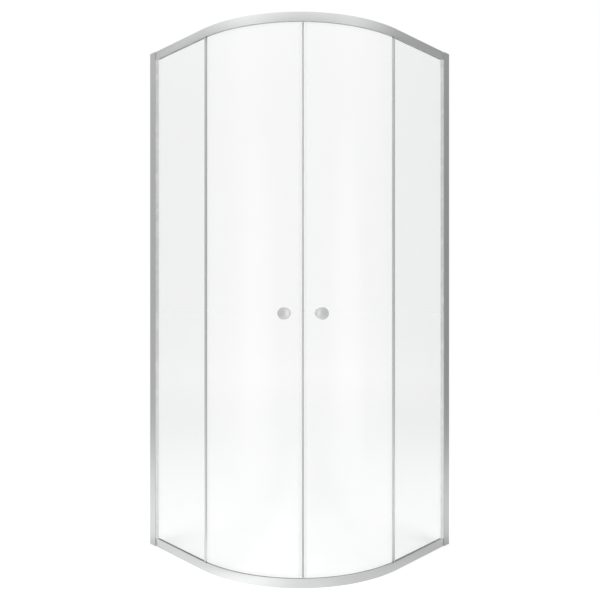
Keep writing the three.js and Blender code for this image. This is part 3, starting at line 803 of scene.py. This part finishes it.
DOME = (
    (3.15, 17.9), (6.9, 17.9), (7.0, 18.0), (7.0, 20.1), (6.75, 20.25), (6.75, 20.55),
    (6.9, 20.7), (6.6, 21.5), (5.8, 22.05), (4.4, 22.3), (2.2, 22.3), (1.9, 21.9), (0, 21.9),
    (0, 20.9), (3.15, 20.8), (3.15, 17.9),
)
WHITE_NYLON = (0.80, 0.80, 0.78)
DIRTY_NYLON = (0.52, 0.52, 0.51)
DIRT_SCALE = 220.0
DIRT_BAND = (0.45, 0.8)
DIRT_SHARE = 0.5
WAXY_ROUGHNESS = 0.35
DIRT_ROUGHER = 0.15
DIRT_DEPTH = 0.02 * MM
WAXY_SHARE = 0.1
WAXY_DEPTH = 1 * MM
CHROME = (0.585, 0.585, 0.59)
MARKED_CHROME = (0.62, 0.62, 0.625)
# Paler chrome, a painted highlight on the inside knobs, laid on from these radii from the bend's
# middle outward.
PAINTED_HIGHLIGHT_CHROME = (0.93, 0.93, 0.93)
PAINTED_HIGHLIGHT_RADII = (BEND - 36 * MM, BEND - 34.5 * MM)
MARK_SCALE = 70.0
HAZE_SCALE = 320.0
HAZE_DEPTH = 0.006 * MM
CHROME_ROUGHNESS = 0.20
HAZE_ROUGHER = 0.06
MARKS_ROUGHER = 0.04


def inward_at(angle):
    """The direction from the outer face to the middle of the bend."""
    return (on_bend(angle, 1, 0) - on_bend(angle, 0, 0)).normalized()


def white_nylon(name):
    """Cast nylon, slightly waxy, with patches of grey dirt."""
    material, finish = new_material(name)
    dirt = finish.noise(finish.place(), DIRT_SCALE, detail=3.0, roughness=0.6)
    dirty = finish.span(dirt, *DIRT_BAND, 0.0, DIRT_SHARE)
    surface = finish.surface({
        "Base Color": finish.mix_colours(dirty, WHITE_NYLON, DIRTY_NYLON),
        "Roughness": WAXY_ROUGHNESS + dirt * DIRT_ROUGHER,
        "Subsurface Weight": WAXY_SHARE,
        "Subsurface Scale": WAXY_DEPTH,
        "Normal": finish.bump(dirt, DIRT_DEPTH),
    })
    finish.close(surface)
    return material


def satin_chrome(name, painted_highlight=0.0):
    """Satin chrome with a soft brushed haze and faint finger marks. A paler chrome, a painted
    highlight, covers that share of what faces the glass from inside."""
    material, finish = new_material(name)
    place = finish.place()
    haze = finish.noise(place, HAZE_SCALE, detail=3.0, roughness=0.6)
    marks = finish.noise(place, MARK_SCALE)
    marked = finish.mix_colours(marks, CHROME, MARKED_CHROME)
    outward = round_the_bend(finish, place)[0]
    # Painted highlight: paler chrome on what lies farther from the bend's middle than these radii.
    overlay = finish.span(outward, *PAINTED_HIGHLIGHT_RADII, 0.0, painted_highlight)
    surface = finish.surface({
        "Base Color": finish.mix_colours(overlay, marked, PAINTED_HIGHLIGHT_CHROME),
        "Metallic": 1.0,
        "Roughness": CHROME_ROUGHNESS + haze * HAZE_ROUGHER + marks * MARKS_ROUGHER,
        "Normal": finish.bump(haze, HAZE_DEPTH),
    })
    finish.close(surface)
    return material


tyre_nylon = white_nylon("white_nylon")
chrome = satin_chrome("satin_chrome")
for side_name, side in SIDES.items():
    for roller_name, from_meeting in ROLLERS.items():
        angle = MEETING + side * from_meeting
        inward = inward_at(angle)
        for end_name, end in ENDS.items():
            label = f"{end_name}_{side_name}_{roller_name}"
            wheel = (on_bend(angle, 0, level(end, WHEEL_DROP)), inward, end * UP, ROLLER_STEPS)
            stud = (on_bend(angle, 0, level(end, STUD_DROP)), inward, end * UP, ROLLER_STEPS)
            tyre = turned_piece(f"roller_tyre_{label}", tyre_nylon, TYRE, *wheel)
            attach(tyre, f"wheel_{label}")
            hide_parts(f"roller_wheel_{label}")
            bearing = turned_piece(f"roller_bearing_{label}", steel, BEARING, *wheel)
            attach(bearing, f"wheel_{label}")
            bm = bmesh.new()
            turned(bm, PIN, *wheel)
            turned(bm, STUD, *stud)
            axle = make_piece(bm, f"eccentric_axle_{label}", steel, ROUNDED)
            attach(axle, f"door_{side_name}")
            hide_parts(f"roller_axle_{label}")
            washer = turned_piece(f"roller_washer_{label}", plastic, WASHER, *stud)
            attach(washer, f"door_{side_name}")
            nut = turned_piece(f"dome_nut_{label}", chrome, DOME, *stud)
            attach(nut, f"door_{side_name}")
            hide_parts(f"roller_nut_{label}")


# Knobs.
# A turned brass disc with a dished face on a short neck inside and outside each door, satin
# chromed, drawn together by one screw, with clear washers. The inside ones carry a painted
# highlight, paler chrome on what faces the glass.

DOOR_OUTER = 13 * MM
DOOR_INNER = 17 * MM
KNOB_HEIGHT = 882 * MM
KNOB_FROM_MEETING = 60.5 * MM / (BEND - DOOR_OUTER)
KNOB_STEPS = 96
KNOB_PROFILE = (
    (2.8, 1.0), (10.7, 1.0), (11.0, 1.3), (11.0, 2.2), (10.7, 2.5), (8.9, 2.6), (8.2, 3.0),
    (8.0, 3.8), (8.0, 8.2), (8.3, 8.8), (9.0, 9.0), (18.9, 9.0), (19.5, 9.2), (19.9, 9.7),
    (20.0, 10.4), (20.0, 19.6), (19.85, 20.3), (19.4, 20.8), (18.9, 20.97), (18.4, 20.95),
    (17.6, 20.82), (15, 20.28), (12, 19.67), (9, 19.17), (6, 18.82), (3, 18.63), (0, 18.6),
    (0, 7.3), (2.8, 7.3), (2.8, 1.0),
)
KNOB_WASHER = (
    (6.2, 0.05), (11.3, 0.05), (11.6, 0.3), (11.6, 0.7), (11.3, 0.95), (6.2, 0.95), (6.2, 0.05),
)

# The inside knobs take the painted highlight, paler chrome, in full.
chrome_with_painted_highlight = satin_chrome("chrome_with_painted_highlight", painted_highlight=1.0)
for side_name, side in SIDES.items():
    angle = MEETING + side * KNOB_FROM_MEETING
    inward = inward_at(angle)
    for place_name, inset, away, finished in (
        ("outside", DOOR_OUTER, -inward, chrome),
        ("inside", DOOR_INNER, inward, chrome_with_painted_highlight),
    ):
        label = f"{place_name}_{side_name}"
        foot = (on_bend(angle, inset, KNOB_HEIGHT), away, UP, KNOB_STEPS)
        knob = turned_piece(f"turned_knob_{label}", finished, KNOB_PROFILE, *foot)
        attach(knob, f"door_{side_name}")
        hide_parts(f"knob_{place_name}_{side_name}")
        washer = turned_piece(f"knob_washer_{label}", plastic, KNOB_WASHER, *foot)
        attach(washer, f"door_{side_name}")
    dress(f"knob_screw_{side_name}", steel)


# Studio floor.
# A wide pale floor that runs off into the white backdrop and keeps the enclosure's soft shadow.
# Metal and glass mirror it as a pool of light that passes into the studio's grey ring far away.

FLOOR_RADIUS = 30.0
FLOOR_STEPS = 96
FLOOR_DROP = 0.5 * MM
FLOOR_GREY = (0.82, 0.82, 0.82, 1)
FLOOR_ROUGHNESS = 0.9
FLOOR_SHINE = 0.1
# Two distances from the middle in metres, and the glow at each.
GLOW_UNDER = (0.3, 0.75, 0.045, 0.0)
GLOW_AROUND = (0.9, 5.5, 0.30, 0.395)
POOL_FADE = (0.6, 3.0)
POOL_WIDTH = 2.4
# Stops are pairs of place, left to right or round from the back, and brightness.
NEAR_FLOOR = (
    (0.0, 1.52), (0.09, 1.45), (0.21, 1.41), (0.265, 1.08), (0.33, 1.12), (0.42, 1.54),
    (0.51, 1.12), (0.6, 0.90), (0.736, 0.72), (0.79, 1.05), (0.86, 1.12), (1.0, 1.25),
)
AROUND = (
    (0.0, 1.8), (0.05, 1.7), (0.11, 0.60), (0.18, 0.90), (0.28, 1.18), (0.36, 1.54),
    (0.43, 1.30), (0.5, 1.16), (0.57, 1.18), (0.63, 1.30), (0.69, 1.06), (0.76, 0.73),
    (0.82, 0.52), (0.89, 0.60), (0.95, 1.7), (1.0, 1.8),
)
MIRRORED_TOP = 2.0
HORIZON_SHARE = 0.74
SOFT_BOX_HEADINGS = (math.radians(-83), math.radians(-2))
SOFT_BOX_EDGE = 0.95
SOFT_BOX_BRIGHTNESS = 0.42


def scaled(stops):
    """Ramp stops that reach above 1, brought under it."""
    return [(at, grey / MIRRORED_TOP) for at, grey in stops]


def studio_ring(finish, rightward, frontward):
    """How bright the studio is that way, seen in metal and glass. The ring starts at the back."""
    around = rightward.sum("ARCTAN2", rightward, frontward) * (0.5 / math.pi) + 0.5
    return finish.node("ValToRGB", {"stops": scaled(AROUND)}, {"Fac": around})


def soft_boxes(finish, x, y):
    """What two round soft boxes add to the studio that way, x and y being a direction's."""
    first, second = (
        finish.span(
            x * math.cos(heading) + y * math.sin(heading),
            SOFT_BOX_EDGE, 1.0, 0.0, SOFT_BOX_BRIGHTNESS,
        )
        for heading in SOFT_BOX_HEADINGS
    )
    return first + second


def ray_kinds(finish):
    """Whether a ray is mirrored, and whether it reaches the camera directly or through glass."""
    camera_ray = finish.node("LightPath", {}, {}, "Is Camera Ray")
    straight = camera_ray.at_least(camera_ray.other("Is Transmission Ray"))
    return camera_ray.other("Is Glossy Ray"), straight


bm = bmesh.new()
bmesh.ops.create_circle(bm, cap_ends=True, radius=FLOOR_RADIUS, segments=FLOOR_STEPS)
bmesh.ops.translate(bm, verts=bm.verts, vec=(0, 0, -FLOOR_DROP))
floor_material, finish = new_material("studio_floor")
x, y, _ = finish.split(finish.place())
away = (x * x + y * y) ** 0.5
across = (x + y) * (math.sqrt(0.5) / POOL_WIDTH) + 0.5
near = finish.node("ValToRGB", {"stops": scaled(NEAR_FLOOR)}, {"Fac": across})
far_ring = studio_ring(finish, x + y, x - y) * HORIZON_SHARE
far = far_ring + soft_boxes(finish, x / away, y / away) / MIRRORED_TOP
pool = finish.mix_colours(finish.span(away, *POOL_FADE, 0.0, 1.0), near, far)
glossy, straight = ray_kinds(finish)
lit = finish.surface({
    "Base Color": FLOOR_GREY,
    "Roughness": FLOOR_ROUGHNESS,
    "Specular IOR Level": FLOOR_SHINE,
})
glow = finish.span(away, *GLOW_UNDER) + finish.span(away, *GLOW_AROUND)
whitened = finish.node("Emission", {}, {"Color": WHITE, "Strength": straight * glow})
seen = finish.node("AddShader", {}, {0: lit, 1: whitened})
mirrored = finish.node("Emission", {}, {"Color": pool, "Strength": MIRRORED_TOP})
finish.close(finish.mix_shaders(glossy, seen, mirrored))
floor = make_piece(bm, "studio_floor", floor_material)


# Studio light.
# White all round for the camera and for what glass lets through. Metal and glass mirror a grey
# ring and two soft boxes instead. Two large soft lamps light rubber, plastic and the floor.

LIGHTING = 0.72
BACKDROP = 1.0
HORIZON_BAND = (0.22, 0.46)
# Name, place and target in metres, width and height in metres, power in watts.
LAMPS = (
    ("key_lamp", (-0.2, -3.6, 2.5), (0.1, -0.2, 0.9), (2.4, 2.6), 46),
    ("fill_lamp", (3.2, 0.1, 2.5), (0.2, -0.1, 0.9), (2.0, 2.4), 44),
)


def background(finish, colour, strength):
    """Light that comes from all round."""
    return finish.node("Background", {}, {"Color": colour, "Strength": strength})


world = bpy.data.worlds.new("studio")
world.use_nodes = True
bpy.context.scene.world = world
finish = Finish(world.node_tree)
x, y, z = finish.split(finish.node("TexCoord", {}, {}, "Generated"))
ring = studio_ring(finish, x + y, x - y)
ring_share = finish.span(z, *HORIZON_BAND, HORIZON_SHARE, 1.0)
glossy, straight = ray_kinds(finish)
studio = background(finish, ring, ring_share * MIRRORED_TOP)
added = background(finish, WHITE, soft_boxes(finish, x, y))
mirrored = finish.node("AddShader", {}, {0: studio, 1: added})
unseen = finish.mix_shaders(glossy, background(finish, WHITE, LIGHTING), mirrored)
seen = background(finish, WHITE, BACKDROP)
finish.close(finish.mix_shaders(straight, unseen, seen), "OutputWorld")

for name, place, target, (width, height), power in LAMPS:
    data = bpy.data.lights.new(name, "AREA")
    data.shape = "RECTANGLE"
    data.size = width
    data.size_y = height
    data.energy = power
    lamp = bpy.data.objects.new(name, data)
    bpy.context.collection.objects.link(lamp)
    lamp.location = place
    lamp.rotation_euler = (Vector(target) - Vector(place)).to_track_quat("-Z", "Y").to_euler()
    lamp.visible_camera = False
    lamp.visible_glossy = False


# Camera.
# Level, on the enclosure's diagonal, a little over two metres from the curved front.

CAMERA_AWAY = 2042 * MM
CAMERA_HEIGHT = 947 * MM
SENSOR_WIDTH = 36
FOCAL_LENGTH = 38.24
SHIFT_RIGHT = 0.0006
SHIFT_UP = -0.0115

camera_data = bpy.data.cameras.new("camera")
camera_data.sensor_width = SENSOR_WIDTH
camera_data.lens = FOCAL_LENGTH
camera_data.shift_x = SHIFT_RIGHT
camera_data.shift_y = SHIFT_UP
camera = bpy.data.objects.new("camera", camera_data)
bpy.context.collection.objects.link(camera)
camera.location = on_bend(0, -CAMERA_AWAY, CAMERA_HEIGHT)
camera.rotation_euler = (QUARTER, 0, QUARTER + FRONT_HEADING)
bpy.context.scene.camera = camera
bpy.context.scene.view_settings.view_transform = "Standard"
